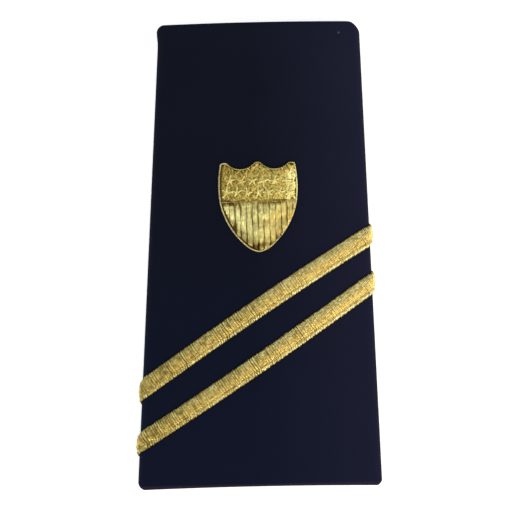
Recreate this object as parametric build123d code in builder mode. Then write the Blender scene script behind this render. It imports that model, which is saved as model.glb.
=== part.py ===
"""Slip-on epaulette: a tapered cloth sleeve with two slanting braids and a padded shield.

It lies on its back. X runs across it, Y towards its narrow end and Z up from the surface
that it lies on. All sizes are in millimetres and all angles in degrees.
"""

from math import atan, cos, degrees, radians, sin
import os

from build123d import *

os.makedirs("parts", exist_ok=True)

# The sleeve's outline from above
length = 108.4
wide_end = 57.2
narrow_end = 46.8
lean = 0.35  # the middle of the narrow end lies this far to the left of the wide end's
end_slope = 1.25  # both ends are sewn this far off square

# Its cloth, and the hollow for the shoulder strap
cloth_wall = 1.1
hem_fold = 0.5  # the turned-in edge adds this much to the wall
hem_depth = 4.5
hollow_height = 5.2  # clear height in the middle, between the hems
bend_radius = 0.8  # inside the long folds, at the hems
hem_rounding = 0.4
seam_angle = 38.0  # the side seams lie this far below the widest point of each fold
seam_gap = 0.1
rest_flat = 0.03  # its own weight presses the back this much flatter where it lies

# Braids
braid_width = 4.3
braid_thickness = 0.8
braid_rounding = 0.4

# Shield, from the tips of its horns to its point
shield_width = 18.6
shield_height = 21.5
peak_rounding = 1.25
shield_point_at = 0.5065  # share of the sleeve's length, from the wide end
shield_turn = 1.3
border_width = 0.55
border_height = 0.8
chief_depth = 9.1  # from the peak down
chief_height = 0.7
bar_count = 13
bar_height = 1.0
bar_groove = 0.35
groove_floor = 0.5
star_size = 2.2
star_tips = 5
star_waist = 0.45  # the star's size between its tips, as a share of its size at them
star_rise = 0.3

# Small clearances between pieces
lay_gap = 0.05  # under a piece that is sewn onto the face
piece_gap = 0.15  # between neighbours in the shield
overrun = 4.0  # how far a cutting shape runs past what it cuts
trim_clearance = 0.02

# The four corners seen from above: left or right, share of the length, rounding
CORNERS = (
    {"side": -1, "share": 0, "radius": 1.4},
    {"side": 1, "share": 0, "radius": 0.9},
    {"side": 1, "share": 1, "radius": 2.1},
    {"side": -1, "share": 1, "radius": 1.2},
)

# Each braid crosses the middle at a share of the length, at an angle, and bows a little
BRAIDS = (
    {"name": "braid_upper", "share": 0.389, "angle": 34.3, "bow": 0.5},
    {"name": "braid_lower", "share": 0.269, "angle": 34.7, "bow": -0.4},
)

# The right half of the shield: shares of its half width and of its height. The two scallops
# would meet above the peak, and its rounding brings it down to just under the full height.
SHIELD = {
    "peak": (0.0, 1.055),
    "scallop": (0.47, 0.912),
    "horn_inside": (0.78, 0.985),
    "horn_outside": (0.942, 0.978),
    "flank": (1.0, 0.76),
    "shoulder": (0.975, 0.55),
    "hip": (0.79, 0.318),
    "low": (0.414, 0.1035),
    "toe": (0.217, 0.034),
    "point": (0.0, 0.0),
}

# Rows of stars: how many, share of the height below the peak, and pitch as a share of the width
STAR_ROWS = (
    {"count": 6, "drop": 0.222, "pitch": 0.14},
    {"count": 7, "drop": 0.346, "pitch": 0.132},
)

hem_wall = cloth_wall + hem_fold
fold_radius = bend_radius + hem_wall
sleeve_height = hollow_height + 2 * hem_wall
slope = radians(end_slope)


def station(share):
    """The upright plane across the sleeve at a share of its length from the wide end."""
    return Plane(
        origin=(lean * (0.5 - share), length * (share - 0.5), -rest_flat),
        x_dir=(cos(slope), sin(slope), 0),
        z_dir=(sin(slope), -cos(slope), 0),
    )


def half_width(share):
    return (wide_end + (narrow_end - wide_end) * share) / 2


def fold_centre(share):
    """How far the middle of each long fold lies from the sleeve's middle."""
    return half_width(share) - fold_radius


def section(share, growth):
    """The sleeve's outer outline across that plane, grown by the same amount all round.

    A flat back, a round fold on each side, and one shallow arc that crowns the face and
    runs smoothly into both folds.
    """
    reach = fold_centre(share)
    crown_angle = 2 * atan((sleeve_height - 2 * fold_radius) / reach)
    crown_radius = reach / sin(crown_angle) + fold_radius
    turn = degrees(crown_angle)
    with BuildSketch(station(share)) as outline:
        with BuildLine():
            Line((-reach, -growth), (reach, -growth))
            CenterArc((reach, fold_radius), fold_radius + growth, -90, 180 - turn)
            CenterArc((0, sleeve_height - crown_radius), crown_radius + growth, 90 - turn, 2 * turn)
            CenterArc((-reach, fold_radius), fold_radius + growth, 90 + turn, 180 - turn)
        make_face()
    return outline.sketch


def sleeve_form(growth, start=0.0, end=1.0):
    """The solid inside the grown outline, between two shares of the length."""
    return loft([section(start, growth), section(end, growth)], ruled=True)


def below_seams(shift):
    """Everything below the two side seams, moved up by shift."""
    outlines = []
    for share in (past_wide, past_narrow):
        reach = fold_centre(share)
        level = fold_radius + shift / cos(radians(seam_angle))
        out = reach + overrun * fold_radius
        drop = (out - reach) * sin(radians(seam_angle)) / cos(radians(seam_angle))
        with BuildSketch(station(share)) as outline:
            with BuildLine():
                Polyline(
                    (-reach, level),
                    (-out, level - drop),
                    (-out, -drop - overrun),
                    (out, -drop - overrun),
                    (out, level - drop),
                    (reach, level),
                    close=True,
                )
            make_face()
        outlines.append(outline.sketch)
    return loft(outlines, ruled=True)


past_wide = -overrun / length
past_narrow = 1 + overrun / length
hem_share = hem_depth / length

with BuildPart() as outer:
    add(sleeve_form(0))
    ends = outer.faces().sort_by(Axis.Y)
    fillet(ends[0].edges() + ends[-1].edges(), hem_rounding)
outer_form = outer.part
hollow_form = sleeve_form(-hem_wall, past_wide, past_narrow) + sleeve_form(
    -cloth_wall, hem_share, 1 - hem_share
)

# Seen from above, the ends and sides are straight and each corner has its own rounding
with BuildPart() as plan_form:
    with BuildSketch(Plane.XY.offset(-overrun)) as plan:
        corner_points = [
            station(row["share"]).from_local_coords((row["side"] * half_width(row["share"]), 0))
            for row in CORNERS
        ]
        with BuildLine():
            Polyline(*[(point.X, point.Y) for point in corner_points], close=True)
        make_face()
        offset(amount=trim_clearance, kind=Kind.INTERSECTION)
        for row, point in zip(CORNERS, corner_points):
            nearest = plan.vertices().sort_by_distance((point.X, point.Y, 0))[0]
            fillet(nearest, row["radius"])
    extrude(amount=sleeve_height + 2 * overrun)

# Face cloth: the crowned top, round both folds as far as the side seams
face_limit = below_seams(seam_gap / 2)
with BuildPart() as face_cloth:
    add(outer_form)
    add(hollow_form, mode=Mode.SUBTRACT)
    add(face_limit, mode=Mode.SUBTRACT)
    add(plan_form.part, mode=Mode.INTERSECT)
face_cloth.part.label = "face_cloth"
export_step(face_cloth.part, "parts/face_cloth.step")

# Back cloth: flat where it lies, and turned up to meet the face in the seams
back_limit = below_seams(-seam_gap / 2)
with BuildPart() as back_cloth:
    add(outer_form)
    add(hollow_form, mode=Mode.SUBTRACT)
    add(back_limit, mode=Mode.INTERSECT)
    add(plan_form.part, mode=Mode.INTERSECT)
    split(bisect_by=Plane.XY, keep=Keep.TOP)
back_cloth.part.label = "back_cloth"
export_step(back_cloth.part, "parts/back_cloth.step")


def layer(low, high):
    """A skin that follows the sleeve's outside, between two heights above the cloth."""
    return sleeve_form(high) - sleeve_form(low)


def level_plane(share, turn, height):
    """A level plane at that height, with its X axis turned that much anticlockwise."""
    middle = station(share).origin
    direction = radians(turn)
    return Plane(
        origin=(middle.X, middle.Y, height),
        x_dir=(cos(direction), sin(direction), 0),
        z_dir=(0, 0, 1),
    )


cut_height = sleeve_height + overrun

# Braids: flat metal braid laid slanting over the face, with its ends in the side seams
braid_skin = layer(lay_gap, lay_gap + braid_thickness)
braid_reach = wide_end
for row in BRAIDS:
    half_run = fold_centre(row["share"]) / cos(radians(row["angle"]))
    fall = row["bow"] * (braid_reach / half_run) ** 2
    with BuildPart() as braid:
        add(braid_skin)
        with BuildSketch(level_plane(row["share"], row["angle"], 0), mode=Mode.PRIVATE) as strip:
            with BuildLine():
                near = ThreePointArc(
                    (-braid_reach, -braid_width / 2 - fall),
                    (0, -braid_width / 2),
                    (braid_reach, -braid_width / 2 - fall),
                )
                far = ThreePointArc(
                    (-braid_reach, braid_width / 2 - fall),
                    (0, braid_width / 2),
                    (braid_reach, braid_width / 2 - fall),
                )
                Line(near @ 0, far @ 0)
                Line(near @ 1, far @ 1)
            make_face()
        extrude(strip.sketch, amount=cut_height, mode=Mode.INTERSECT)
        add(face_limit, mode=Mode.SUBTRACT)
        crown = braid.faces().sort_by(Axis.Z)[-1]
        fillet(crown.edges().filter_by(lambda edge: edge.length > half_run), braid_rounding)
    braid.part.label = row["name"]
    export_step(braid.part, "parts/" + row["name"] + ".step")


def shield_place():
    """The level plane inside the sleeve under the shield, from its point towards its peak."""
    return level_plane(shield_point_at, shield_turn, sleeve_height / 2)


def at(name):
    """A named point of the shield's right half, in the shield's own plane."""
    across, up = SHIELD[name]
    return (across * shield_width / 2, up * shield_height)


def draw_shield(inset, mode=Mode.ADD):
    """The shield from above, drawn in on every side by inset, in the sketch being made."""
    with BuildLine() as edge:
        ThreePointArc(at("peak"), at("scallop"), at("horn_inside"))
        Line(at("horn_inside"), at("horn_outside"))
        ThreePointArc(at("horn_outside"), at("flank"), at("shoulder"))
        ThreePointArc(at("shoulder"), at("hip"), at("low"))
        ThreePointArc(at("low"), at("toe"), at("point"))
        mirror(about=Plane.YZ)
        fillet(edge.vertices().sort_by_distance((*at("peak"), 0))[0], peak_rounding)
        if inset:
            offset(amount=-inset)
    make_face(edge.edges(), mode=mode)


# Border: a raised cord right round the shield
border_skin = layer(lay_gap, border_height)
with BuildSketch(shield_place()) as border_ring:
    draw_shield(0)
    draw_shield(border_width, mode=Mode.SUBTRACT)
with BuildPart() as shield_border:
    add(border_skin)
    extrude(border_ring.sketch, amount=cut_height, mode=Mode.INTERSECT)
shield_border.part.label = "shield_border"
export_step(shield_border.part, "parts/shield_border.step")

# Inside the border the field is split in two: the chief above and the bars below
field_inset = border_width + piece_gap
split_level = shield_height - chief_depth

# Chief: a flat embroidered band with rows of raised stars
star_outline = []
for corner in range(2 * star_tips):
    reach = star_size / 2 * (star_waist if corner % 2 else 1)
    bearing = radians(180 / star_tips * corner)
    star_outline.append((reach * sin(bearing), reach * cos(bearing)))
star_skin = layer(chief_height / 2, chief_height + star_rise)
with BuildSketch(shield_place()) as stars:
    for row in STAR_ROWS:
        with Locations((0, shield_height * (1 - row["drop"]))):
            with GridLocations(row["pitch"] * shield_width, 0, row["count"], 1):
                Polygon(*star_outline, align=None)
    draw_shield(field_inset, mode=Mode.INTERSECT)
with BuildPart() as star_relief:
    add(star_skin)
    extrude(stars.sketch, amount=cut_height, mode=Mode.INTERSECT)
chief_skin = layer(lay_gap, chief_height)
with BuildSketch(shield_place()) as chief_field:
    with Locations((0, split_level + piece_gap / 2)):
        Rectangle(shield_width, chief_depth, align=(Align.CENTER, Align.MIN))
    draw_shield(field_inset, mode=Mode.INTERSECT)
with BuildPart() as shield_chief:
    add(chief_skin)
    extrude(chief_field.sketch, amount=cut_height, mode=Mode.INTERSECT)
    add(star_relief.part)
shield_chief.part.label = "shield_chief"
export_step(shield_chief.part, "parts/shield_chief.step")

# Bars: the lower field, padded into upright ribs with a groove between each two
bar_pitch = (shield_width - 2 * border_width) / bar_count
bar_skin = layer(lay_gap, bar_height)
groove_skin = layer(groove_floor, bar_height + overrun)
with BuildSketch(shield_place()) as grooves:
    with Locations((0, split_level / 2)):
        with GridLocations(bar_pitch, 0, bar_count - 1, 1):
            Rectangle(bar_groove, split_level + overrun)
with BuildPart() as groove_cut:
    add(groove_skin)
    extrude(grooves.sketch, amount=cut_height + overrun, mode=Mode.INTERSECT)
with BuildSketch(shield_place()) as bar_field:
    with Locations((0, split_level - piece_gap / 2)):
        Rectangle(shield_width, split_level, align=(Align.CENTER, Align.MAX))
    draw_shield(field_inset, mode=Mode.INTERSECT)
with BuildPart() as shield_bars:
    add(bar_skin)
    extrude(bar_field.sketch, amount=cut_height, mode=Mode.INTERSECT)
    add(groove_cut.part, mode=Mode.SUBTRACT)
shield_bars.part.label = "shield_bars"
export_step(shield_bars.part, "parts/shield_bars.step")
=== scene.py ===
# %% [markdown]
# # Dressing a slip-on epaulette
# A slip-on epaulette is a tapered sleeve of navy cloth that slides over a shoulder strap. Two
# flat gold braids cross it at a slant, and a padded shield is embroidered above them.
# The CAD model already holds the true sizes, so this lesson loads it as a fixed frame, makes
# the cloth and the gold thread as meshes that follow it, and lights them like a flat lay.

# %% Load the frame
import math

import bpy
import numpy as np
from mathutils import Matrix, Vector


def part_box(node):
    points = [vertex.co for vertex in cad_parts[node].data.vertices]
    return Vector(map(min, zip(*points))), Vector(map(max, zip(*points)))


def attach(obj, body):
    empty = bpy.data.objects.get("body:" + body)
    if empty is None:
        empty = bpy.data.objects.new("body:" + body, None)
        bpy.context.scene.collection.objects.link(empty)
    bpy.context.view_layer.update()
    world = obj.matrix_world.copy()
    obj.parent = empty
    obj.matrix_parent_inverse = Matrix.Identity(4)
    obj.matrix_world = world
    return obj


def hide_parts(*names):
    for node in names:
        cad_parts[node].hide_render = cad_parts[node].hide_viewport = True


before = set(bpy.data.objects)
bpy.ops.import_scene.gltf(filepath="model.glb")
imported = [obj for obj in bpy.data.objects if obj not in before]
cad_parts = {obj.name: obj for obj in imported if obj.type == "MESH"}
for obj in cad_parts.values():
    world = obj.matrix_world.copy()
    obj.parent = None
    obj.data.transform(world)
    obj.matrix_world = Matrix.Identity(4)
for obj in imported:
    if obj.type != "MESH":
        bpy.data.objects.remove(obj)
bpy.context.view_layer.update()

print("nodes:", sorted(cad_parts))

# %% [markdown]
# ## The sleeve's own coordinates
# Every thread here lies on curved cloth, so it helps to have one function that knows the cloth.
# A sleeve is a flat back, a round fold down each side and a face that crowns gently between
# them. A point on it is named by its distance across the cloth from the middle line, its share
# of the length from the wide end, and its rise above the cloth. Then a thread is drawn as if
# the cloth lay flat, and the function bends it round the folds.

# %% Sizes of the sleeve
MM = 0.001
BODY = "root"
LENGTH = 108.4 * MM
WIDE_END = 57.2 * MM
NARROW_END = 46.8 * MM
LEAN = 0.35 * MM
END_SLOPE = math.radians(1.25)
CLOTH_WALL = 1.1 * MM
HEM_WALL = 1.6 * MM
HEM_DEPTH = 4.5 * MM
FOLD_RADIUS = 2.4 * MM
SLEEVE_HEIGHT = 8.4 * MM
REST_FLAT = 0.03 * MM
SEAM_GAP = 0.1 * MM
SEAM_TURN = math.radians(90 + 38)

for end_name, end_width in (("wide", WIDE_END), ("narrow", NARROW_END)):
    print(end_name, "end is", round(end_width / MM, 1), "mm wide")
low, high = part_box("face_cloth")
print("face cloth in the frame:", [round((b - a) / MM, 2) for a, b in zip(low, high)], "mm")

# %% The section and the place of a point
def half_width(share):
    """Half the sleeve's width at that share of its length."""
    return (WIDE_END + (NARROW_END - WIDE_END) * share) / 2


def crown(share):
    """The folds' reach from the middle, and the angle and radius of the crowned face."""
    reach = half_width(share) - FOLD_RADIUS
    angle = 2 * np.arctan((SLEEVE_HEIGHT - 2 * FOLD_RADIUS) / reach)
    return reach, angle, reach / np.sin(angle) + FOLD_RADIUS


def section(across, share, rise):
    """The place in the upright plane across the sleeve: sideways, and up from the back."""
    reach, angle, radius = crown(share)
    out = np.abs(across)
    crown_arc = angle * radius
    turn = np.minimum(angle + (out - crown_arc) / FOLD_RADIUS, np.pi)
    past_fold = np.maximum(out - crown_arc - FOLD_RADIUS * (np.pi - angle), 0)
    on_crown = out < crown_arc
    side = np.where(
        on_crown,
        (radius + rise) * np.sin(out / radius),
        reach + (FOLD_RADIUS + rise) * np.sin(turn) - past_fold,
    )
    up = np.where(
        on_crown,
        SLEEVE_HEIGHT - radius + (radius + rise) * np.cos(out / radius),
        FOLD_RADIUS + (FOLD_RADIUS + rise) * np.cos(turn),
    )
    return np.where(across < 0, -side, side), up


def skin(across, share, rise=0.0):
    """Points over the sleeve's cloth, in the frame's own axes."""
    side, up = section(across, share, rise)
    past_middle = share - 0.5
    x = side * math.cos(END_SLOPE) - LEAN * past_middle
    y = side * math.sin(END_SLOPE) + LENGTH * past_middle
    return np.stack(np.broadcast_arrays(x, y, np.maximum(up - REST_FLAT, 0)), axis=-1)


def unit(vectors):
    """The same directions, each of length one."""
    return vectors / np.linalg.norm(vectors, axis=-1, keepdims=True)


def skin_up(across, share, rise=0.0):
    """Which way the cloth faces there."""
    return unit(skin(across, share, rise + MM) - skin(across, share, rise))


print("crown at the middle:", (skin(np.array(0.0), 0.5) / MM).round(2), "mm")

# %% Distances across the cloth
def ramp(values, low, high):
    """From 0 at low to 1 at high, and level beyond them."""
    return np.clip((values - low) / (high - low), 0, 1)


def across_at(stage, share):
    """Distance across the cloth at a stage of its way round.

    1 is where the crown meets the fold, 2 the side seam, 3 where the fold meets the back and
    4 the middle of the back. Negative stages are on the left.
    """
    reach, angle, radius = crown(share)
    spans = (
        angle * radius,
        FOLD_RADIUS * (SEAM_TURN - angle),
        FOLD_RADIUS * (np.pi - SEAM_TURN),
        reach,
    )
    total = sum(ramp(np.abs(stage), k, k + 1) * span for k, span in enumerate(spans))
    return np.sign(stage) * total


for stage_name, stage in (("fold", 1), ("side seam", 2), ("middle of the back", 4)):
    print(stage_name, "lies", round(float(across_at(stage, 0.5)) / MM, 1), "mm across")

# %% [markdown]
# ## Meshes from grids of points
# Cloth and thread are both grids of points: rings of points, one after another. A thread is a
# ring carried along a path, and turned-in cloth is one closed loop, out over the face and back
# along the inside, carried from one side seam to the other. So one function makes the faces of
# both. Modifiers on curves could make the threads too, but numpy makes thousands at once and
# lets each carry what its finish needs: the distance along it, round it, and its own tone.

# %% Faces of a grid of rings
def ring_faces(bodies, rings, sides, closed=False):
    """Quads round each ring and on to the next, for a number of bodies of as many rings."""
    body = np.arange(bodies)[:, None, None] * rings * sides
    ring = np.arange(rings if closed else rings - 1)[None, :, None]
    side = np.arange(sides)[None, None, :]
    after = (ring + 1) % rings * sides
    beside = (side + 1) % sides
    corners = (ring * sides + side, after + side, after + beside, ring * sides + beside)
    return np.stack([body + corner for corner in corners], axis=-1).reshape(-1, 4)


def tube_faces(bodies, rings, sides, closed=False):
    """Those quads and, where the rings don't join up, a face over both ends of each body."""
    faces = ring_faces(bodies, rings, sides, closed).tolist()
    if closed:
        return faces
    for body in range(bodies):
        first = body * rings * sides
        last = first + (rings - 1) * sides
        faces.append(list(range(first, first + sides)))
        faces.append(list(range(last + sides - 1, last - 1, -1)))
    return faces


def link_object(name, data):
    """A new object in the scene."""
    made = bpy.data.objects.new(name, data)
    bpy.context.collection.objects.link(made)
    return made


def make_piece(name, points, faces, finish, notes):
    """A mesh object that rides on the body, with its finish and what it carries for it."""
    mesh = bpy.data.meshes.new(name)
    mesh.from_pydata(points.reshape(-1, 3).tolist(), [], faces)
    for note, values in notes.items():
        kind, field = ("FLOAT_VECTOR", "vector") if values.shape[-1] == 3 else ("FLOAT", "value")
        layer = mesh.attributes.new(note, kind, "POINT")
        layer.data.foreach_set(field, values.astype(np.float32).ravel())
    mesh.shade_smooth()
    mesh.materials.append(finish)
    piece = link_object(name, mesh)
    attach(piece, BODY)
    print(name, "has", len(mesh.polygons), "faces")
    return piece


print("a thread of 9 rings of 6 points has", len(tube_faces(1, 9, 6)), "faces")

# %% Threads along paths
def ring_angles(sides):
    """The angle of each point round a ring, in radians."""
    return 2 * np.pi * np.arange(sides) / sides


def thread_rings(paths, ups, wide, high, sides, closed=False):
    """Oval rings along each path, as wide and high as given, with the high side facing up."""
    if closed:
        forward = np.roll(paths, -1, axis=1) - np.roll(paths, 1, axis=1)
    else:
        forward = np.gradient(paths, axis=1)
    beside = unit(np.cross(forward, ups))
    upright = unit(np.cross(beside, forward))
    angles = ring_angles(sides)
    wide = np.broadcast_to(wide, paths.shape[:2])[..., None, None]
    high = np.broadcast_to(high, paths.shape[:2])[..., None, None]
    spread = wide * np.cos(angles)[:, None] * beside[:, :, None, :]
    lift = high * np.sin(angles)[:, None] * upright[:, :, None, :]
    return paths[:, :, None, :] + spread + lift


def thread_notes(paths, rises, radius, tones, sides):
    """Along and round each thread in metres with its tone, and how high each point stands, which
    the finish reads to paint shade and highlights.
    """
    steps = np.linalg.norm(np.diff(paths, axis=1), axis=-1)
    along = np.concatenate([np.zeros((len(paths), 1)), np.cumsum(steps, axis=1)], axis=1)
    angles = ring_angles(sides)
    shape = paths.shape[:2] + (sides,)
    fibre = np.stack(
        [
            np.broadcast_to(along[..., None], shape),
            np.broadcast_to(radius * angles, shape),
            np.broadcast_to(np.asarray(tones)[:, None, None], shape),
        ],
        axis=-1,
    )
    shading_height = rises[..., None] + radius * np.sin(angles)
    return {"fibre": fibre, "shading_height": shading_height[..., None] / MM}


def make_threads(name, paths, ups, rises, wide, high, tones, finish, sides=6, closed=False):
    """One piece of many threads of as many points each."""
    points = thread_rings(paths, ups, wide, high, sides, closed)
    notes = thread_notes(paths, rises, float(np.mean(wide)), tones, sides)
    faces = tube_faces(*paths.shape[:2], sides, closed)
    return make_piece(name, points, faces, finish, notes)


def make_core(name, points, along, around, tone, rises, finish):
    """One closed tube of rings that lies under threads, with the same notes as they carry."""
    shape = points.shape[:2]
    notes = {
        "fibre": np.stack(np.broadcast_arrays(along, around, tone), axis=-1),
        "shading_height": np.broadcast_to(rises / MM, shape)[..., None],
    }
    return make_piece(name, points, tube_faces(1, *shape), finish, notes)


# %% [markdown]
# ## Shader sums in plain Python
# A finish is mostly arithmetic: this noise times that, one minus a mask. Written as nodes it
# gets long, so a small class wraps a socket and lets Python's own signs add the Math nodes.
# Colours go through Mix nodes, because a Math node would turn them grey.

# %% A socket that can be used in sums
class Wire:
    """One output of a node, in one material."""

    def __init__(self, tree, socket=None):
        self.tree = tree
        self.socket = socket

    def node(self, kind, settings=None, inputs=None, output=0):
        """Any node: its type, its settings, the values or links of its sockets."""
        made = self.tree.nodes.new(kind)
        for name, value in (settings or {}).items():
            setattr(made, name, value)
        for name, value in (inputs or {}).items():
            if isinstance(value, Wire):
                self.tree.links.new(value.socket, made.inputs[name])
            else:
                made.inputs[name].default_value = value
        return Wire(self.tree, made.outputs[output] if made.outputs else None)

    def output(self, name):
        """Another output of the same node."""
        return Wire(self.tree, self.socket.node.outputs[name])

    def math(self, operation, first, second=0.0):
        """A Math node on sockets or plain numbers."""
        return self.node("ShaderNodeMath", {"operation": operation}, {0: first, 1: second})

    def __add__(self, other):
        return self.math("ADD", self, other)

    __radd__ = __add__

    def __sub__(self, other):
        return self.math("SUBTRACT", self, other)

    def __rsub__(self, other):
        return self.math("SUBTRACT", other, self)

    def __mul__(self, other):
        return self.math("MULTIPLY", self, other)

    __rmul__ = __mul__

    def wave(self):
        """A sine wave of this angle, from 0 to 1."""
        return self.math("SINE", self) * 0.5 + 0.5

    def clamp(self, low=0.0, high=1.0):
        """From 0 at low to 1 at high, and level beyond them."""
        return self.node(
            "ShaderNodeMapRange", None, {"Value": self, "From Min": low, "From Max": high}
        )

    def blend(self, first, second):
        """The first colour where this is 0 and the second where it is 1."""
        return self.node(
            "ShaderNodeMix", {"data_type": "RGBA"}, {0: self, 6: first, 7: second}, output=2
        )

    def noise(self, scale, detail=2.0):
        """Noise over this place, with so many waves to the metre and so many finer layers."""
        inputs = {"Vector": self, "Scale": scale, "Detail": detail}
        return self.node("ShaderNodeTexNoise", None, inputs)

    def bump(self, strength, distance):
        """The normal of a surface that this height shapes."""
        inputs = {"Height": self, "Strength": strength, "Distance": distance}
        return self.node("ShaderNodeBump", None, inputs)


def start_finish(name):
    """A new material: an empty tree to make nodes in."""
    finish = bpy.data.materials.new(name)
    finish.use_nodes = True
    finish.node_tree.nodes.clear()
    return finish, Wire(finish.node_tree)


def end_finish(tree, constants, links):
    """The surface, with what is the same all over and what varies."""
    surface = tree.node("ShaderNodeBsdfPrincipled", None, {**constants, **links})
    tree.node("ShaderNodeOutputMaterial", None, {"Surface": surface})


# %% [markdown]
# ## Navy cloth
# The sleeve is a fine twill in a very dark navy. At this size its weave is felt rather than
# seen: a slanting rib every third of a millimetre, and threads that differ a little in tone.
# The mesh carries its flat coordinates, so the weave runs round the folds without stretching.
# A wave along the diagonal is the twill, and noise breaks it up so that it isn't printed lines.
# The wide end has a thin rosy rim painted along its rolled edge as a highlight, the face is painted
# paler to the right as the sheen of light from that side, and it pales towards the narrow end. A
# speck of lint lies near the narrow end.

# %% The cloth's finish
TWILL_PITCH = 0.36 * MM
TWILL_WAVER = 0.25 * TWILL_PITCH
TWILL_RISE = 0.08 * MM
WEAVE_WAVERS = 900.0
FUZZ = 6000.0
CLOUDS = 45.0
PALER_FROM = 60 * MM
PALER_BY = 105 * MM
BLUE_UNTIL = 70 * MM
SHEEN_SPAN = 28 * MM
NAVY = (0.0034, 0.0042, 0.0104, 1)
NAVY_PALE = (0.0055, 0.0065, 0.0155, 1)
# The third navy is the colour of a painted sheen.
NAVY_PAINTED_SHEEN = (0.0104, 0.0118, 0.0300, 1)
NAVY_BLUE = (0.0040, 0.0063, 0.0205, 1)
# The rosy rim is a painted highlight of the wide end's rolled edge.
RIM_HIGHLIGHT_ROSE = (0.020, 0.013, 0.028, 1)
LINT_GREY = (0.060, 0.064, 0.085, 1)
RIM = 0.55 * MM
LINT = (18.9 * MM, 105.9 * MM, 0.0)


def navy_cloth(name, depth=0.35, wear_and_sheen=0.0):
    """Twill on the coordinates that the cloth's mesh carries.

    depth is how strongly the weave shows, and the last argument how strongly a painted sheen pales
    the cloth to the right, how far the cloth pales to the narrow end, and how far its painted rim
    highlight and its lint show.
    """
    finish, tree = start_finish(name)
    flat = tree.node("ShaderNodeAttribute", {"attribute_name": "flat"}, output=1)
    parts = tree.node("ShaderNodeSeparateXYZ", None, {0: flat})
    x, y = parts.output("X"), parts.output("Y")
    waver = flat.noise(WEAVE_WAVERS)
    fuzz = flat.noise(FUZZ, 3.0)
    cloudy = flat.noise(CLOUDS, 4.0)
    twill = ((x + y * 0.8 + waver * TWILL_WAVER) * (2 * math.pi / TWILL_PITCH)).wave()
    yarn = ((x - y) * (4 * math.pi / TWILL_PITCH)).wave()
    weave = twill * 0.6 + yarn * 0.25 + fuzz * 0.5
    upper = y.clamp(PALER_FROM, PALER_BY) * wear_and_sheen
    tone = (weave * 0.35 + cloudy * 0.6 + upper * 0.3 - 0.25).clamp(0.0, 0.8)
    blue = y.clamp(BLUE_UNTIL, 0.0) * wear_and_sheen
    # Painted sheen: the cloth is painted paler to the right, where light from the right would pale
    # it.
    painted_sheen = (x * (1 / SHEEN_SPAN) + cloudy * 0.3).clamp(0.1, 1.15) * (wear_and_sheen - blue * 0.2 + upper * 0.2)
    # Painted highlight: a thin rosy rim along the rolled edge of the wide end.
    painted_rim_highlight = tree.math("ABSOLUTE", y - RIM).clamp(0.45 * MM, 0.1 * MM) * wear_and_sheen
    from_lint = tree.node("ShaderNodeVectorMath", {"operation": "DISTANCE"}, {0: flat, 1: LINT}, 1)
    lint = (from_lint + fuzz * (0.3 * MM)).clamp(0.55 * MM, 0.25 * MM) * wear_and_sheen
    colour = painted_sheen.blend(blue.blend(tone.blend(NAVY, NAVY_PALE), NAVY_BLUE), NAVY_PAINTED_SHEEN)
    end_finish(
        tree,
        {
            "Specular IOR Level": 0.04,
            "Sheen Weight": 0.01,
            "Sheen Roughness": 0.45,
            "Sheen Tint": (0.55, 0.6, 1.0, 1),
        },
        {
            "Base Color": lint.blend(painted_rim_highlight.blend(colour, RIM_HIGHLIGHT_ROSE), LINT_GREY),
            "Roughness": 0.78 + fuzz * 0.15,
            "Normal": weave.bump(depth, TWILL_RISE),
        },
    )
    return finish


face_finish = navy_cloth("navy twill face", wear_and_sheen=0.8)
back_finish = navy_cloth("navy twill back")
print("cloth finishes:", face_finish.name, "and", back_finish.name)

# %% [markdown]
# ## The sleeve's cloth
# Each cloth is cut larger than it shows and its ends are turned in, so from inside there is a
# band of double cloth at both ends. A Solidify modifier would give a wall with square ends, so
# the wall is drawn instead: one loop that runs out along the face, rolls over the end, comes
# back along the inside of the hem, steps down off its raw edge and goes on along the lining
# side. That loop is carried across from one side seam to the other.

# %% The loop along a cloth
MIDDLE_STEP = 1.2 * MM
ROLL_STEPS = 5
PAST_ROLL = 1.4 * MM
HEM_STEPS = 5
RAW_EDGE = 0.12 * MM


def end_rows():
    """From the end inwards: distance from the end, and depth outside and inside."""
    half = HEM_WALL / 2
    rows = []
    for step in range(1, ROLL_STEPS + 1):
        turn = math.pi / 2 * step / ROLL_STEPS
        bulge = half * math.sin(turn)
        rows.append((half * (1 - math.cos(turn)), half - bulge, half + bulge))
    for distance in np.linspace(PAST_ROLL, HEM_DEPTH - RAW_EDGE, HEM_STEPS):
        rows.append((distance, 0.0, HEM_WALL))
    rows.append((HEM_DEPTH, 0.0, HEM_WALL - RAW_EDGE))
    rows.append((HEM_DEPTH, 0.0, CLOTH_WALL + RAW_EDGE / 2))
    rows.append((HEM_DEPTH + RAW_EDGE, 0.0, CLOTH_WALL))
    return rows


def loop_rows():
    """The whole loop: places along the length, and depths, outside and then back inside."""
    near = end_rows()
    far = [(LENGTH - distance, outside, inside) for distance, outside, inside in reversed(near)]
    start = near[-1][0] + MIDDLE_STEP
    count = round((LENGTH - 2 * start) / MIDDLE_STEP) + 1
    middle = [(place, 0.0, CLOTH_WALL) for place in np.linspace(start, LENGTH - start, count)]
    rows = np.array(near + middle + far)
    places = np.concatenate([rows[:, 0], rows[::-1, 0]])
    depths = np.concatenate([rows[:, 1], rows[::-1, 2]])
    return places, depths


loop_places, loop_depths = loop_rows()
print("the loop has", len(loop_places), "points")

# %% [markdown]
# ## Corners, hems and small faults
# Straight from CAD the sleeve is too perfect. Each corner is rounded by hand in sewing and each
# differs, the narrow end bows out a little and the wide end in, the hem of the narrow end
# stands out on the left, and the face isn't quite flat. These are small moves of the same
# points.

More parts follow.
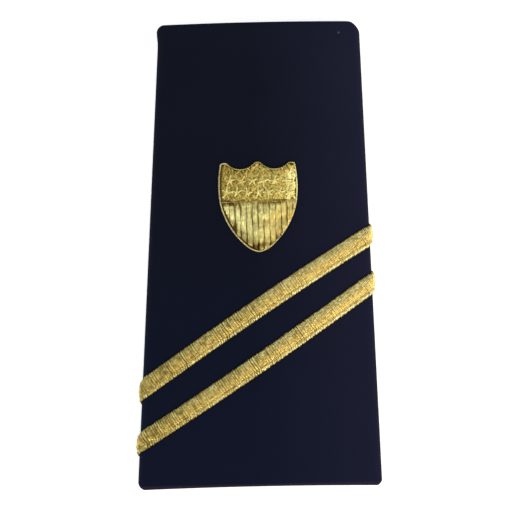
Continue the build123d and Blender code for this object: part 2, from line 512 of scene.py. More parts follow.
# %% Corner rounding and the bowed ends
CORNERS = (
    {"side": -1, "end": 0, "radius": 1.4 * MM},
    {"side": 1, "end": 0, "radius": 0.9 * MM},
    {"side": 1, "end": 1, "radius": 2.6 * MM},
    {"side": -1, "end": 1, "radius": 1.2 * MM},
)
CORNER_FADE = 7 * MM
WIDE_BOW = 0.42 * MM
WIDE_DROP = 0.11 * MM
NARROW_BOW = 0.36 * MM
BULGE = 0.5 * MM
BULGE_DEPTH = 5.5 * MM
BULGE_FROM = 18 * MM
BULGE_BY = 24 * MM
BULGE_STAGE = 2.6
RIPPLE_SPAN = 20 * MM
RIPPLE_EDGE = 24 * MM
SWELL = 0.035 * MM
DENT = 0.03 * MM


def corner_pull(across, end):
    """How far the end is drawn in at each place across it, by its rounded corners."""
    side, _ = section(across, float(end), 0.0)
    pull = np.zeros_like(side)
    for row in CORNERS:
        if row["end"] != end:
            continue
        inside = half_width(end) - side * row["side"]
        short = np.clip(row["radius"] - inside, 0, row["radius"])
        pull = np.maximum(pull, row["radius"] - np.sqrt(row["radius"] ** 2 - short**2))
    return pull


def shaped_share(across, places):
    """The share of the length of each point, with the corners rounded."""
    from_wide = ramp(places, CORNER_FADE, 0) ** 2
    from_narrow = ramp(LENGTH - places, CORNER_FADE, 0) ** 2
    side, _ = section(across, places / LENGTH, 0.0)
    middle = ramp((side / (WIDE_END / 2)) ** 2, 1, 0)
    moved = places + corner_pull(across, 0) * from_wide - corner_pull(across, 1) * from_narrow
    moved = moved + (middle * WIDE_BOW - WIDE_DROP) * from_wide + middle * NARROW_BOW * from_narrow
    return moved / LENGTH


def ripple(across, share):
    """Small dents and swells of the face, none at the folds."""
    x = across / RIPPLE_SPAN
    y = share * LENGTH / RIPPLE_SPAN
    calm = ramp((across / RIPPLE_EDGE) ** 4, 1, 0)
    swell = np.sin(1.9 * x + 0.7 * y + 0.4) + np.sin(0.8 * x - 1.7 * y + 2.1)
    dent = np.sin(3.1 * x + 2.3 * y) * np.sin(1.3 * y - 0.9)
    return (SWELL * swell + DENT * dent) * calm


def hem_bulge(across, share):
    """The doubled cloth at the narrow end stands out on the left."""
    fade = 0.5 + 0.5 * np.cos(np.pi * ramp((1 - share) * LENGTH, 0, BULGE_DEPTH))
    on_fold = ramp(-across, BULGE_FROM, BULGE_BY)
    above = np.abs(across) < across_at(BULGE_STAGE, share)
    sideways = np.where(above, -BULGE * fade * on_fold, 0.0)
    return np.stack([sideways, sideways * 0, sideways * 0], axis=-1)


print("corner at the narrow end pulls in", (corner_pull(np.array(26 * MM), 1) / MM).round(2), "mm")

# %% The face cloth and the back cloth
SEAM_PINCH = 0.5 * MM
THINNEST = 0.25


def edge_columns():
    """Distances in from a seam, and how much of its thickness the cloth keeps there."""
    columns = []
    for distance in (0.0, 0.06 * MM, 0.18 * MM, 0.34 * MM, SEAM_PINCH):
        kept = math.sqrt(1 - (1 - distance / SEAM_PINCH) ** 2)
        columns.append((distance, max(kept, THINNEST)))
    return columns


def make_cloth(name, stages, start, end, inward, finish, rippled):
    """A closed cloth from seam to seam. inward is which way across it leads off a seam."""
    columns = [(start, distance, kept) for distance, kept in edge_columns()]
    columns += [(stage, 0.0, 1.0) for stage in stages]
    columns += [(end, distance, kept) for distance, kept in reversed(edge_columns())]
    wall_middle = np.where(loop_depths > CLOTH_WALL, HEM_WALL, CLOTH_WALL) / 2
    points, flats = [], []
    for stage, distance, kept in columns:
        at_seam = abs(stage) == 2
        shift = inward * np.sign(stage) * (distance + SEAM_GAP / 2) * at_seam
        share = shaped_share(across_at(stage, loop_places / LENGTH) + shift, loop_places)
        across = across_at(stage, share) + shift
        depth = wall_middle + (loop_depths - wall_middle) * kept
        lift = ripple(across, share) if rippled else 0.0
        points.append(skin(across, share, lift - depth) + hem_bulge(across, share))
        flats.append(np.stack([across, share * LENGTH, depth], axis=-1))
    points, flats = np.array(points), np.array(flats)
    rings, sides = points.shape[:2]
    faces = ring_faces(1, rings, sides).tolist()
    for first, flip in ((0, False), ((rings - 1) * sides, True)):
        for k in range(sides // 2 - 1):
            corners = [first + k, first + k + 1, first + sides - 2 - k, first + sides - 1 - k]
            faces.append(corners[::-1] if flip else corners)
    return make_piece(name, points, faces, finish, {"flat": flats})


# The stages at which each cloth has a column of points
face_stages = np.concatenate(
    [
        np.linspace(-1.85, -1, 12),
        np.linspace(-0.97, 0.97, 61),
        np.linspace(1, 1.85, 12),
    ]
)
back_stages = np.concatenate(
    [
        np.linspace(2.35, 3, 6),
        np.linspace(3.04, 4, 20),
        np.linspace(-3.96, -3.04, 19),
        np.linspace(-3, -2.35, 6),
    ]
)
face = make_cloth(
    "face_twill", face_stages, start=-2, end=2, inward=-1, finish=face_finish, rippled=True
)
back = make_cloth(
    "back_twill", back_stages, start=2, end=-2, inward=1, finish=back_finish, rippled=False
)
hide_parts("face_cloth")
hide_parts("back_cloth")

# %% [markdown]
# ## Telling what the cloth was cut from
# Cloth hardly stretches, so the piece that it was cut from can be worked out. Here only the way
# across each cloth from seam to seam is worked out, at the middle of its length.

# %% Flat sizes of the two cloths
face_across = 2 * float(across_at(2, 0.5))
back_across = 2 * float(across_at(4, 0.5) - across_at(2, 0.5))

# %% [markdown]
# ## Gold thread
# Gold braid and embroidery are spun from flat metal strip round a thread, so each thread is bright
# on top, has fine slanting filaments, and goes olive and brown where it dives between its
# neighbours and no light gets in. The finish paints that shade into the colour: the height that
# each point carries darkens the hollows with painted shade, and a point told to stand higher gets a
# painted highlight. Every thread has its own streaks, slow noise mixes two golds in patches, pale
# flecks are painted glints, a painted warm reflection of the lamp comes in from the lower right,
# and the gold is painted paler to the right and duller to the left as light from the right falls,
# with dull stains and specks of rust.

# %% A finish for gold thread
PALE_GOLD = (0.97, 0.91, 0.45, 1)
GREEN_GOLD = (0.61, 0.51, 0.145, 1)
BAR_GOLD = (0.75, 0.71, 0.28, 1)
BRAID_GOLD = (0.50, 0.42, 0.130, 1)
BRAID_PALE = (0.95, 0.89, 0.46, 1)
CORD_GOLD = (0.58, 0.53, 0.31, 1)
WARM_GOLD_AND_REFLECTION = (0.90, 0.65, 0.17, 1)
OLIVE_GOLD = (0.58, 0.44, 0.12, 1)
OLD_GOLD_AND_SHADE = (0.33, 0.235, 0.05, 1)
DULL_GOLD = (0.27, 0.20, 0.04, 1)
RUST = (0.60, 0.34, 0.07, 1)
# The old gold and the brown are also the colours of painted shade in the hollows.
PAINTED_SHADE_BROWN = (0.07, 0.038, 0.006, 1)
PAINTED_BAND_REACH = 2.15 * MM
FILAMENT_RISE = 0.03 * MM

# Waves to the metre in the noise over the gold
PATCHES = 260.0
STAINS = 900.0
RUST_SPOTS = 1100.0
FLECKS = 1900.0
STREAKS_ALONG = 800.0
FILAMENTS_ALONG = 2200.0
FILAMENTS_SLANTED = 900.0
FILAMENTS_ROUND = 9000.0


def gold_thread(
    name, low_gold, high_gold, shade_below, top, roughness, tarnish=0.0, painted_warmth=0.0, fade=0.0,
    rusted=0.0, painted_warm_band=None,
):
    """Thread painted brown with shade below so many millimetres above the cloth, and full gold by
    top.

    tarnish is how much of it has gone dark in patches, fade how much faster in each metre they come
    to the left and how much paler the gold is painted to the right, as light from the right falls,
    rusted how much rust is in its specks, and the warm amount how strong the painted warm
    reflection of the lamp is on its lower right. With a band, that painted warm reflection lies
    that far along each thread instead.
    """
    finish, tree = start_finish(name)
    fibre = tree.node("ShaderNodeAttribute", {"attribute_name": "fibre"}, output=1)
    shading_height = tree.node("ShaderNodeAttribute", {"attribute_name": "shading_height"}, output=2)
    parts = tree.node("ShaderNodeSeparateXYZ", None, {0: fibre})
    along, around, tone = (parts.output(axis) for axis in "XYZ")
    place = tree.node("ShaderNodeTexCoord", output=3)
    patch = place.noise(PATCHES)
    fleck = place.noise(FLECKS)
    stain = place.noise(STAINS, 3.0)
    spot = place.noise(RUST_SPOTS, 1.0)
    slanted = along * FILAMENTS_ALONG + around * FILAMENTS_SLANTED
    strip = {0: slanted, 1: around * FILAMENTS_ROUND, 2: tone * 40}
    filament = tree.node("ShaderNodeCombineXYZ", None, strip).noise(1.0, 3.0)
    wear_and_sheen = {0: along * STREAKS_ALONG, 1: tone * 70}
    streak = tree.node("ShaderNodeCombineXYZ", None, wear_and_sheen).noise(1.0)
    axes = tree.node("ShaderNodeSeparateXYZ", None, {0: place})
    side = axes.output("X")
    low_right = side - axes.output("Y") * 0.5
    # Painted light: fade makes the gold paler to the right and its stains darker to the left, as
    # light from the right falls; strong flecks of pale gold are painted glints.
    gold = (patch + streak * 1.3 + fleck * 3.5 + side * (fade * 4) - 2.40).clamp()
    # Painted warm reflection of the lamp on the lower right, or a painted band of it along each
    # thread.
    painted_warm_light = (low_right * 110 + patch * 1.6 - 0.2).clamp(0.0, 1.2) * painted_warmth
    if painted_warm_band:
        painted_warm_light = ((along - painted_warm_band + PAINTED_BAND_REACH / 2) * (math.pi / PAINTED_BAND_REACH)).wave() * painted_warmth
    shine = painted_warm_light.blend(gold.blend(low_gold, high_gold), WARM_GOLD_AND_REFLECTION)
    dull = (stain + fleck * 0.25 - tone * 0.22 - side * fade).clamp(0.50, 0.74) * tarnish
    rust = (spot + side * 1.5).clamp(0.57, 0.72) * rusted
    bright = rust.blend(dull.blend(shine, DULL_GOLD), RUST)
    # Painted shade: points that stand low are painted old gold, then brown, and high ones full
    # gold.
    painted_light = (shading_height + fleck * 0.12).clamp(shade_below, top)
    painted_shade_colour = painted_light.clamp(0.2, 1.0).blend(OLD_GOLD_AND_SHADE, bright)
    end_finish(
        tree,
        {"Metallic": 0.92},
        {
            "Base Color": painted_light.clamp(0.0, 0.45).blend(PAINTED_SHADE_BROWN, painted_shade_colour),
            "Roughness": (roughness - 0.12) + fleck * 0.12 + streak * 0.12,
            "Normal": filament.bump(strength=0.45, distance=FILAMENT_RISE),
        },
    )
    return finish


# %% [markdown]
# ## The two braids
# The braid is woven: metal thread goes back and forth across it in close pairs, which make the fine
# ribs, over a core that its finish paints dark with shade. A binding thread pulls them down about
# three quarters of the way across, and beyond it they turn back in slanting loops that look like a
# row of beads. Tiling an image would give the ribs but not the glitter, so each thread is a real
# one here. The finish is told that the beads and the crumbs of the twist stand higher than they do,
# so it paints glints on them as painted highlights, and it paints a warm highlight as a band along
# each thread.

# %% A braid's way over the cloth
BRAID_WIDTH = 4.3 * MM
BRAIDS = (
    {"name": "braid_upper", "share": 0.389, "angle": 34.3, "bow": 0.5 * MM, "seed": 3},
    {"name": "braid_lower", "share": 0.269, "angle": 34.7, "bow": -0.4 * MM, "seed": 8},
)

# Past a fold, a braid keeps the slant that is seen from above at 0, or on the cloth at 1
FOLLOWS_LEFT = 0.55
FOLLOWS_RIGHT = 0.3

LINE_POINTS = 1200
LINE_ROUNDS = 4
SPARE = 3 * MM
TUCK = 0.9 * MM
TUCK_SINKS = 0.6


def braid_line(row):
    """The braid's middle line on the flat cloth: distance along it, across, along the sleeve."""
    slant = math.tan(math.radians(row["angle"]))
    start_x = LEAN * (0.5 - row["share"])
    start_y = LENGTH * (row["share"] - 0.5)
    far = float(across_at(2, 0.0)) + SPARE
    across = np.linspace(-far, far, LINE_POINTS)
    share = np.full_like(across, row["share"])
    follow = np.where(across < 0, FOLLOWS_LEFT, FOLLOWS_RIGHT)
    for _ in range(LINE_ROUNDS):
        reach, angle, radius = crown(share)
        fold_start = angle * radius
        widest = fold_start + FOLD_RADIUS * (np.pi / 2 - angle)
        seen, _ = section(np.sign(across) * np.minimum(np.abs(across), widest), share, 0.0)
        past = np.maximum(np.abs(across) - fold_start, 0)
        unrolled = np.sign(across) * (radius * np.sin(angle) + past)
        x = seen + np.where(past > 0, follow, 0) * (unrolled - seen)
        climb = x * (math.cos(END_SLOPE) * slant - math.sin(END_SLOPE)) - start_x * slant
        fall = row["bow"] * (x / reach) ** 2 / math.cos(math.radians(row["angle"]))
        share = 0.5 + (start_y + climb - fall) / (LENGTH + LEAN * slant)
    along = share * LENGTH
    steps = np.hypot(np.diff(across), np.diff(along))
    distance = np.concatenate([[0], np.cumsum(steps)])
    distance -= np.interp(0.0, across, distance)
    over = np.abs(across) - across_at(2, share)
    return distance[over < TUCK], across[over < TUCK], along[over < TUCK]


def braid_place(line, distance, offset, rise):
    """Points and facing of a braid: distance along it, offset to its upper side, rise."""
    distances, acrosses, alongs = line
    step_across = np.gradient(acrosses, distances)
    step_along = np.gradient(alongs, distances)
    across = np.interp(distance, distances, acrosses)
    across = across - np.interp(distance, distances, step_along) * offset
    along = np.interp(distance, distances, alongs)
    along = along + np.interp(distance, distances, step_across) * offset
    share = along / LENGTH
    seam = across_at(2, share)
    over = np.maximum(np.abs(across) - seam, 0)
    across = np.sign(across) * np.minimum(np.abs(across), seam)
    height = rise - TUCK_SINKS * over + ripple(across, share)
    return skin(across, share, height), skin_up(across, share, height)


for row in BRAIDS:
    line = braid_line(row)
    print(row["name"], "is", round((line[0][-1] - line[0][0]) / MM, 1), "mm long")

# %% How a thread lies across a braid
# From the upper edge: share of the width, rise of the thread's middle and slide along, in mm
LANES = (
    {"share": 0.00, "rise": 0.13, "slide": 0.06},
    {"share": 0.04, "rise": 0.36, "slide": 0.03},
    {"share": 0.10, "rise": 0.50, "slide": 0.00},
    {"share": 0.36, "rise": 0.66, "slide": -0.02},
    {"share": 0.55, "rise": 0.67, "slide": 0.00},
    {"share": 0.70, "rise": 0.59, "slide": 0.02},
    {"share": 0.77, "rise": 0.37, "slide": 0.04},
    {"share": 0.82, "rise": 0.43, "slide": -0.08},
    {"share": 0.89, "rise": 0.45, "slide": -0.26},
    {"share": 0.97, "rise": 0.29, "slide": -0.40},
    {"share": 1.00, "rise": 0.12, "slide": -0.46},
)


def lane(column, shares):
    """One column of the lanes, read between its rows."""
    return np.interp(shares, [row["share"] for row in LANES], [row[column] for row in LANES]) * MM


print("a thread's middle rises to", round(lane("rise", 0.55) / MM, 2), "mm over the cloth")

# %% [markdown]
# ## What makes a braid look woven
# Equal threads would look printed, so each one differs. Where the braid is satin, the two
# threads of a pair part and lie level, and elsewhere they lie close with one higher. At the
# lower edge the threads are wider, and every second pair stands higher and reaches further
# out, which makes the beads. Crumbs are the coarse and the fine bumps of the twisted metal,
# rougher away from the satin. Some threads reach out over the upper edge in a loose loop.

# %% The threads of a braid
RIB_PITCH = 0.60 * MM
PAIR_GAP = 0.20 * MM
PAIR_STEP = 0.03 * MM
PAIR_SLIDE = 0.04 * MM
THREAD_HALF_WIDTH = 0.152 * MM
ACROSS_POINTS = 27
TAPER_LEFT = 0.97
TAPER_GAIN = 0.065
SATIN_SPANS = (4.1 * MM, 9 * MM)
SATIN_TO_RIGHT = 0.8
BEADS_FROM = 0.78
BEADS_BY = 0.92
BEAD_SPREAD = 0.5
BEAD_RISE = 0.05 * MM
BEAD_STEP = 0.03 * MM
BEAD_PAINTED_GLINT = 0.14 * MM
PAINTED_GLINT_FADES = 0.45
UPPER_BEADS = 0.09
UPPER_BEADS_SPREAD = 0.06
SMOOTH_CRUMBS = 0.026 * MM
ROUGH_CRUMBS = 0.034 * MM
CRUMB_PAINTED_GLINT = 2.4
COARSE_TWIST = 19
FINE_TWIST = 41
ANY_PHASE = 6.3
WAVER = {"rise": 0.018 * MM, "slide": 0.035 * MM, "lean": 0.04 * MM}
TOP_EDGE = 0.10
LOOSE_SHARE = 0.3
LOOSE_LOOP = 0.10 * MM


def hump(values, middle, spread):
    """1 at the middle, fading to nothing on both sides."""
    return np.exp(-(((values - middle) / spread) ** 2))


def braid_threads(row, line):
    """Distance, offset, rise, half width and told rise of every point, and the threads' tones."""
    rng = np.random.default_rng(row["seed"])
    first, last = line[0][0], line[0][-1]
    ribs = np.arange(first + RIB_PITCH, last - RIB_PITCH, RIB_PITCH)
    short_span, long_span = SATIN_SPANS
    satin = 0.5 + 0.5 * np.sin(ribs / short_span + row["seed"]) * np.sin(ribs / long_span)
    satin = np.clip(satin * 0.5 + (ribs - first) / (last - first) * SATIN_TO_RIGHT, 0, 1)
    gaps = (PAIR_GAP + (RIB_PITCH / 2 - PAIR_GAP) * satin)[:, None]
    middles = (ribs[:, None] + gaps * np.array([-0.5, 0.5])).reshape(-1, 1)
    rightness = (middles - first) / (last - first)
    satin = np.repeat(satin, 2)[:, None]
    count = len(middles)
    pair_high = np.tile([1.0, -1.0], len(ribs))[:, None]
    bead = np.repeat(np.where(np.arange(len(ribs)) % 2, 1.0, -0.5), 2)[:, None]
    shares = np.linspace(0, 1, ACROSS_POINTS)[None, :]
    edge = ramp(shares, BEADS_FROM, BEADS_BY)
    loop = np.where(rng.random((count, 1)) < LOOSE_SHARE, LOOSE_LOOP, 0.0)
    loop = loop * ramp(shares, TOP_EDGE, 0)
    rise = lane("rise", shares) + (1 - satin) * pair_high * PAIR_STEP
    rise = rise + rng.normal(0, WAVER["rise"], (count, 1)) + edge * bead * BEAD_RISE
    crumbs = SMOOTH_CRUMBS + ROUGH_CRUMBS * (1 - satin)
    rise = rise + crumbs * np.sin(shares * COARSE_TWIST + rng.random((count, 1)) * ANY_PHASE)
    crumb = crumbs * np.sin(shares * FINE_TWIST + rng.random((count, 1)) * ANY_PHASE)
    rise = rise + crumb
    slide = lane("slide", shares) + rng.normal(0, WAVER["slide"], (count, 1)) * (1 - 0.6 * satin)
    slide = slide + rng.normal(0, WAVER["lean"], (count, 1)) * (shares - 0.4)
    slide = slide + PAIR_SLIDE * pair_high * edge
    taper = TAPER_LEFT + TAPER_GAIN * rightness
    offset = BRAID_WIDTH * taper * (0.5 - shares) - edge * bead * BEAD_STEP + loop
    tones = np.clip(rng.random(count) * 0.8 + 0.35 * satin[:, 0] - 0.1, 0, 1)
    wide = THREAD_HALF_WIDTH * (1 + BEAD_SPREAD * edge)
    # Painted glints on the beads of both edges, fewer to the right.
    upper_beads = hump(shares, UPPER_BEADS, UPPER_BEADS_SPREAD) * np.maximum(bead, 0) * (1 - satin)
    shine = edge * (1 - PAINTED_GLINT_FADES * rightness) + upper_beads
    # Painted glints: the told height is raised at the beads and the crumbs, so the finish paints
    # them brighter.
    told = rise + shine * BEAD_PAINTED_GLINT + crumb * CRUMB_PAINTED_GLINT
    return middles + slide, offset, rise, wide, told, tones


for row in BRAIDS:
    print(row["name"], "has", len(braid_threads(row, braid_line(row))[-1]), "threads")

# %% Both braids with their cores
THREAD_HALF_HEIGHT = 0.12 * MM
THINNEST_END = 0.7
CORE_POINTS = 220
CORE_SIDES = 12
CORE_REACH = 0.46
CORE_RISE = 0.22 * MM
CORE_HALF_HEIGHT = 0.16 * MM


def make_braid(row, finish, core_finish):
    """Makes the threads of one braid, and the core that they are woven over."""
    line = braid_line(row)
    distance, offset, rise, wide, told, tones = braid_threads(row, line)
    paths, ups = braid_place(line, distance, offset, rise)
    places = np.arange(ACROSS_POINTS)
    ends = np.clip(np.minimum(places, places[::-1]) / 2, THINNEST_END, 1)
    threads = make_threads(
        row["name"] + "_threads", paths, ups, told, wide, THREAD_HALF_HEIGHT * ends, tones, finish
    )
    around = ring_angles(CORE_SIDES)[None, :]
    core_offset = CORE_REACH * BRAID_WIDTH * np.cos(around)
    core_rise = CORE_RISE + CORE_HALF_HEIGHT * np.sin(around)
    core_distance = np.linspace(line[0][0], line[0][-1], CORE_POINTS)[:, None]
    points, _ = braid_place(line, core_distance, core_offset, core_rise)
    core = make_core(
        row["name"] + "_core", points, core_distance, core_offset, tone=0.5, rises=core_rise,
        finish=core_finish,
    )
    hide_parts(row["name"])


braid_finish = gold_thread(
    "braid metal thread", BRAID_GOLD, BRAID_PALE, shade_below=0.24, top=0.82, roughness=0.41,
    tarnish=0.9, painted_warmth=0.7, fade=2.6, rusted=0.6, painted_warm_band=2.8 * MM,
)
# The core stands low under the threads, so its finish paints it dark with painted shade.
core_finish = gold_thread(
    "braid core", OLD_GOLD_AND_SHADE, WARM_GOLD_AND_REFLECTION, shade_below=0.3, top=1.2, roughness=0.5
)
for row in BRAIDS:
    make_braid(row, braid_finish, core_finish)

# %% [markdown]
# ## The shield's outline
# The shield is drawn flat, from its point upwards, with arcs that an embroiderer could mark
# with a compass: a rounded peak, a scallop each side, blunt horns, and flanks that swell and
# then run in to the point. A cord can't turn a sharp corner, so the drawn line is softened
# before anything follows it.

# %% The outline as a closed line
SHIELD_SHARE = 0.5065
SHIELD_TURN = math.radians(1.3)
SHIELD_WIDTH = 18.6 * MM
SHIELD_HEIGHT = 21.5 * MM
OUTLINE_STEP = 0.1 * MM
SOFTEN = 0.32 * MM
SAME_PLACE = 0.01 * MM
PEAK_ROUNDING = 1.25 * MM
SHIELD = {
    "peak": (0.0, 1.055),
    "scallop": (0.47, 0.912),
    "horn_inside": (0.78, 0.985),
    "horn_outside": (0.942, 0.978),
    "flank": (1.0, 0.76),
    "shoulder": (0.975, 0.55),
    "hip": (0.79, 0.318),
    "low": (0.414, 0.1035),
    "toe": (0.217, 0.034),
    "point": (0.0, 0.0),
}


def at(name):
    """A named point as a complex number: across from the middle, and up from the point."""
    across, up = SHIELD[name]
    return complex(across * SHIELD_WIDTH / 2, up * SHIELD_HEIGHT)


def circle_centre(start, middle, end):
    """The middle of the circle through three points."""
    w = (end - start) / (middle - start)
    return start - (start - middle) * (w - abs(w) ** 2) / 2j / w.imag


def arc(start, middle, end, steps=60):
    """Points on the circle through three points, from the first to the last."""
    centre = circle_centre(start, middle, end)
    turns = np.unwrap(np.angle(np.array([start, middle, end]) - centre))
    sweep = np.linspace(turns[0], turns[2], steps)
    return centre + abs(start - centre) * np.exp(1j * sweep)


def rounded_peak():
    """From the top of the peak to the horn: a small circle that runs into the scallop."""
    scallop = circle_centre(at("peak"), at("scallop"), at("horn_inside"))
    apart = abs(at("peak") - scallop) + PEAK_ROUNDING
    middle = 1j * (scallop.imag - math.sqrt(apart**2 - scallop.real**2))
    toward = (scallop - middle) / apart
    meets = middle + toward * PEAK_ROUNDING
    halfway = middle + PEAK_ROUNDING * (toward + 1j) / abs(toward + 1j)
    peak = arc(middle + 1j * PEAK_ROUNDING, halfway, meets, 30)
    return np.concatenate([peak, arc(meets, at("scallop"), at("horn_inside"))])


def shield_outline(inset=0.0, step=OUTLINE_STEP):
    """The softened outline at even steps, drawn in by inset, from the peak clockwise."""
    right = np.concatenate(
        [
            rounded_peak(),
            np.linspace(at("horn_inside"), at("horn_outside"), 10),
            arc(at("horn_outside"), at("flank"), at("shoulder")),
            arc(at("shoulder"), at("hip"), at("low")),
            arc(at("low"), at("toe"), at("point")),
        ]
    )
    whole = np.concatenate([right, -right[::-1].conjugate()])
    whole = whole[np.abs(np.diff(whole, append=whole[0])) > SAME_PLACE]
    closed = np.append(whole, whole[0])
    travel = np.concatenate([[0], np.cumsum(np.abs(np.diff(closed)))])
    count = int(travel[-1] / OUTLINE_STEP)
    even = np.interp(np.arange(count) * travel[-1] / count, travel, closed)
    turns = np.fft.fftfreq(count, d=travel[-1] / count)
    even = np.fft.ifft(np.fft.fft(even) * np.exp(-2 * (np.pi * turns * SOFTEN) ** 2))
    forward = np.roll(even, -1) - np.roll(even, 1)
    even = even - 1j * forward / np.abs(forward) * inset
    return even[:: max(1, round(step / OUTLINE_STEP))]


drawn = shield_outline()
print("softened shield:", round((drawn.real.max() - drawn.real.min()) / MM, 2), "by",
      round((drawn.imag.max() - drawn.imag.min()) / MM, 2), "mm")

# %% From the drawing to the cloth
def on_shield(drawing, rise):
    """Points and facing over the shield, for points of the drawing as complex numbers."""
    turned = drawing * np.exp(1j * SHIELD_TURN)
    x = turned.real + LEAN * (0.5 - SHIELD_SHARE)
    y = turned.imag + LENGTH * (SHIELD_SHARE - 0.5)
    slope_sin, slope_cos = math.sin(END_SLOPE), math.cos(END_SLOPE)
    past_middle = (y * slope_cos - x * slope_sin) / (LENGTH * slope_cos + LEAN * slope_sin)
    side = (x + LEAN * past_middle) / slope_cos
    share = past_middle + 0.5
    radius = crown(share)[2]
    across = radius * np.arcsin(side / (radius + rise))
    height = rise + ripple(across, share)
    return skin(across, share, height), skin_up(across, share, height)


def shield_threads(
    name, drawing, rise, wide, high, tones, finish, sides=6, closed=False, told=None
):
    """Threads laid over the shield, each a row of points of the drawing.

    told is the height that the finish is given to paint its shade and highlights from, where that
    isn't the threads' own.
    """
    paths, ups = on_shield(drawing, rise)
    told = np.broadcast_to(rise if told is None else told, drawing.shape)
    piece = make_threads(name, paths, ups, told, wide, high, tones, finish, sides, closed)
    return piece


FIELD_NARROWS = 0.97
FIELD_SHIFT = 0.26 * MM
FIELD_INSET = 0.40 * MM
NEAR = 0.12 * MM


def lowest_at(outline, u):
    """The lowest place of an outline at one place across, or the shield's top outside it."""
    near = np.abs(outline.real - u) < NEAR
    return outline.imag[near].min(initial=SHIELD_HEIGHT)


field = shield_outline(inset=FIELD_INSET)
field = field.real * FIELD_NARROWS + FIELD_SHIFT + 1j * field.imag
print("field:", round(field.real.min() / MM, 2), "to", round(field.real.max() / MM, 2), "mm across")

# %% [markdown]
# ## The shield's padding
# Gold embroidery is worked over felt or card so that it stands up from the cloth. It shows as the
# dark ground in the groove beside the border and between the ribs, where its finish also paints
# shade because it lies low. A low dome is enough: the same outline, shrunk in steps towards the
# middle, rising as it goes.

# %% The padding
PAD_HEIGHT = 0.40 * MM
PAD_MIDDLE = 12.4j * MM
PAD_RINGS = 14
PAD_SMALLEST = 0.04
PAD_INSET = 0.3 * MM
PAD_STEP = 0.3 * MM
PAD_FOOT = 0.06 * MM
PAD_UNDERSIDE = 0.04 * MM

pad_edge = shield_outline(inset=PAD_INSET, step=PAD_STEP)
pad_shares = np.linspace(1, PAD_SMALLEST, PAD_RINGS)
ring_shares = np.concatenate([pad_shares[::-1], pad_shares[1:]])[:, None]
pad_rises = PAD_HEIGHT * (1 - ring_shares**8) + PAD_FOOT
pad_rises[PAD_RINGS:] = PAD_UNDERSIDE
pad_drawing = PAD_MIDDLE + (pad_edge - PAD_MIDDLE)[None, :] * ring_shares
pad_points, _ = on_shield(pad_drawing, pad_rises)
# Painted shade: the padding is painted dark where it lies low, in the groove beside the border.
pad_finish = gold_thread(
    "shield ground thread", OLD_GOLD_AND_SHADE, OLD_GOLD_AND_SHADE, shade_below=0.0, top=0.7, roughness=0.55
)
pad = make_core(
    "shield_padding", pad_points, pad_drawing.real, pad_drawing.imag, tone=0.3, rises=pad_rises,
    finish=pad_finish,
)

# %% [markdown]
# ## The border cord
# A two-ply metal cord is couched round the edge. Its plies are two threads that wind round the same
# line half a turn apart, which is a sine and a cosine away from that line. The finish is told that
# it lies lower along the top, so that it is painted darker there.

# %% The border
CORD_INSET = 0.24 * MM
CORD_RISE = 0.40 * MM
CORD_TURN = 1.05 * MM
PLY_HALF_WIDTH = 0.125 * MM
PLY_ORBIT = 0.085 * MM
PLY_STRETCH = 1.3
CORD_TOP_DARKENING = 0.26 * MM
DARKER_FROM = 18.6 * MM
DARKER_MIDDLE = 0.8 * MM
DARKER_REACH = 8.2 * MM

cord_line = shield_outline(inset=CORD_INSET, step=OUTLINE_STEP)
cord_out = np.roll(cord_line, -1) - np.roll(cord_line, 1)
cord_out = -1j * cord_out / np.abs(cord_out)
cord_turns = round(len(cord_line) * OUTLINE_STEP / CORD_TURN)
winding = 2 * np.pi * cord_turns * np.arange(len(cord_line)) / len(cord_line)
windings = winding[None, :] + np.array([[0.0], [np.pi]])
plies = cord_line[None, :] + cord_out[None, :] * PLY_ORBIT * np.cos(windings)
ply_rises = CORD_RISE + PLY_ORBIT * PLY_STRETCH * np.sin(windings)
cord_finish = gold_thread(
    "border cord", CORD_GOLD, PALE_GOLD, shade_below=0.20, top=0.70, roughness=0.46, tarnish=0.7,
    fade=14.0, rusted=0.4,
)
# Painted darker along the top: there the finish is told that the cord lies lower.
cord_top_darker = CORD_TOP_DARKENING * ramp(cord_line.imag, DARKER_FROM, DARKER_FROM + MM)
cord_top_darker = cord_top_darker * ramp(np.abs(cord_line.real - DARKER_MIDDLE), DARKER_REACH, DARKER_REACH - MM)
border = shield_threads(
    "shield_border_cord", plies, ply_rises, PLY_HALF_WIDTH, PLY_HALF_WIDTH, [0.7, 1.0],
    cord_finish, sides=8, closed=True, told=ply_rises - cord_top_darker,
)
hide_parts("shield_border")

# %% [markdown]
# ## The chief and its stars
# The upper band is a ground of short stitches that slant both ways, with two rows of stars worked
# over it. A stitched star this small is a few straight stitches that cross near its middle. Their
# lengths and angles differ, so some read as an X and some as an A. At its right end the ground is
# painted paler as a highlight, where light from the right falls, so the stitches there are a piece
# with a finish of their own.

# %% Ground stitches of the chief
SPLIT_LEVEL = 12.4 * MM
GROUND_PITCH = 0.64 * MM
GROUND_POINTS = 9
GROUND_RISE = 0.40 * MM
GROUND_ARCH = 0.08 * MM
GROUND_HALF_LENGTHS = (0.7 * MM, 1.3 * MM)
GROUND_HALF_WIDTH = 0.28 * MM
GROUND_HALF_HEIGHT = 0.10 * MM
GROUND_SCATTER = 0.1 * MM
GROUND_SLANT = 0.6
GROUND_INSET = 0.26 * MM
SHORTENED = (1.0, 0.6, 0.35)
CHIEF_OVERLAP = 0.3 * MM
CHIEF_STRETCH = 1.06
LIT_END_FROM = 6.8 * MM
LIT_END_BELOW = 19.0 * MM

chief_edges = (shield_outline(GROUND_INSET), field.real + 1j * field.imag * CHIEF_STRETCH)


def within(outline, place):
    """Whether a place is inside a closed outline: seen from there, it goes right round."""
    turns = np.angle((np.roll(outline, -1) - place) / (outline - place))
    return abs(turns.sum()) > math.pi


